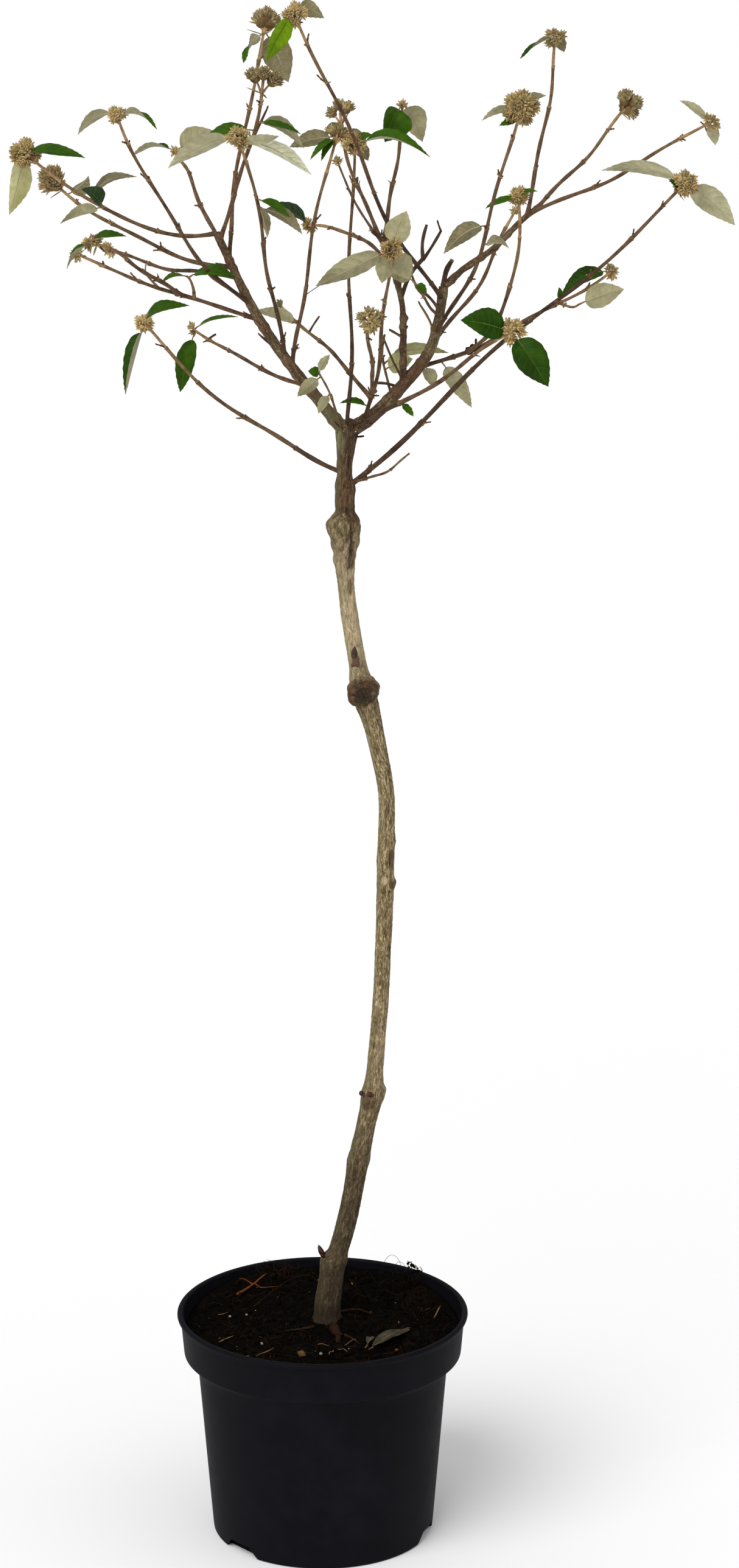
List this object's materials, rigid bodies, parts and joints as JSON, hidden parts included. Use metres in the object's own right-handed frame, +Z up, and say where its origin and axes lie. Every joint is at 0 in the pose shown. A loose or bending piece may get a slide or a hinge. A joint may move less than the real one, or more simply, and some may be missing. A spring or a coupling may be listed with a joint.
{
  "type": "potted standard viburnum shrub",
  "caption": "Grafted standard viburnum in a round nursery pot: a short clear trunk, forked boughs and an open crown of bare shoots with bud heads and a few evergreen leaves.",
  "frame": {"origin": "middle of the pot's flat underside", "axes": "+Z up along the trunk, +X to the right and +Y to the back, away from the viewer of the picture"},
  "size_m": [0.6053, 0.3928, 1.3743],
  "materials": {
    "pot": "satin blue-black moulded plastic, lightly scuffed",
    "soil": null,
    "bark": "grey-beige stock bark with upright fissures, darker brown above the graft",
    "twig": null,
    "leaf": "leathery leaf, glossy dark green above and matt grey-green felt with raised veins below",
    "bud": "matt tan to grey-olive felt on pointed bud scales"
  },
  "bodies": {
    "root": {"pot": "pot", "soil": "soil", "trunk": "bark", "bough_left": "bark", "bough_right": "bark", "bough_right_upper": "bark", "bough_centre": "bark", "spray_left_tip": "twig", "spray_left_pair": "twig", "spray_left_rear": "twig", "spray_left_low": "twig", "spray_left_front": "twig", "spray_left_bare": "twig", "spray_left_top": "twig", "spray_summit_rear": "twig", "spray_middle_front": "twig", "spray_middle_rear": "twig", "spray_low_rear": "twig", "spray_upright": "twig", "spray_fork_twig": "twig", "spray_centre_front": "twig", "spray_centre_left": "twig", "spray_centre_rear": "twig", "spray_centre_right": "twig", "spray_summit": "twig", "spray_right_top": "twig", "spray_right_rear": "twig", "spray_right_tip": "twig", "spray_right_front": "twig", "spray_right_far": "twig", "spray_inner_stub": "twig", "spray_inner_twig": "twig", "spray_right_middle": "twig", "spray_right_long": "twig", "spray_right_low": "twig", "spray_left_lowest": "twig"}
  },
  "joints": []
}
